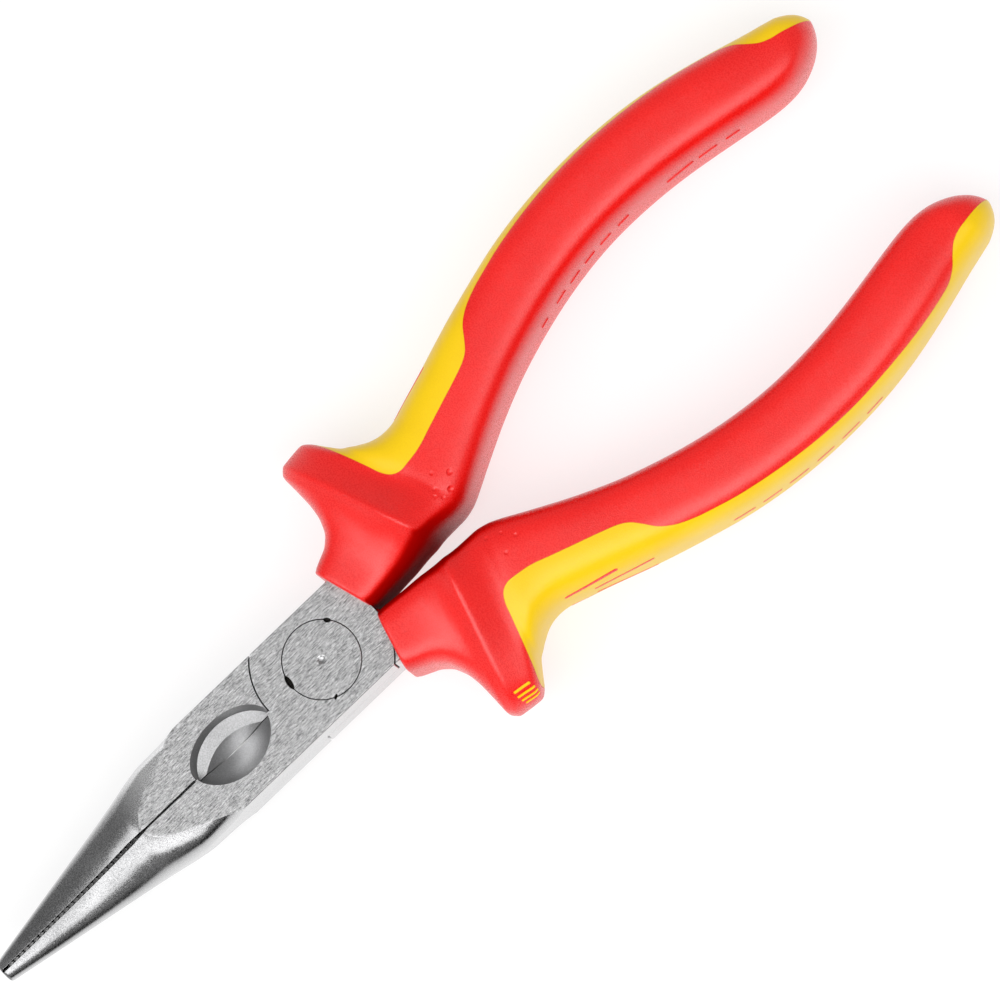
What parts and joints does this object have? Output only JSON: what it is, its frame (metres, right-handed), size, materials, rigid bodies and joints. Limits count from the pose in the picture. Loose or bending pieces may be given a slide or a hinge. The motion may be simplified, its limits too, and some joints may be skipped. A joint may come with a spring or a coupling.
{
  "type": "insulated long-nose pliers",
  "caption": "Long-nose side-cutting pliers with half-round toothed jaws, a riveted lap joint and two-colour insulated grips with finger guards.",
  "frame": {"origin": "centre of the joint rivet on the back joint face", "axes": "+Y along the tool towards the jaw tips, +Z along the pivot axis out of the front joint face, +X towards the grip of the front half"},
  "size_m": [0.0508, 0.1597, 0.0208],
  "materials": {
    "jaw_steel": "ground flats, polished nose",
    "rivet_steel": "ground flush",
    "grip_yellow": "satin moulded",
    "grip_red": "fine textured soft grip"
  },
  "bodies": {
    "rear_half": {"rear_jaw_half": "jaw_steel", "joint_rivet": "rivet_steel", "left_grip_core": "grip_yellow", "left_grip_cover": "grip_red", "left_back_bars": "grip_red"},
    "front_half": {"front_jaw_half": "jaw_steel", "right_grip_core": "grip_yellow", "right_grip_cover": "grip_red", "right_back_bars": "grip_red"}
  },
  "joints": [
    {"name": "plier_pivot", "type": "hinge", "parent": "rear_half", "child": "front_half", "pos_m": [0, 0, 0.0045], "axis": [0, 0, 1], "range_deg": [0, 50]}
  ]
}
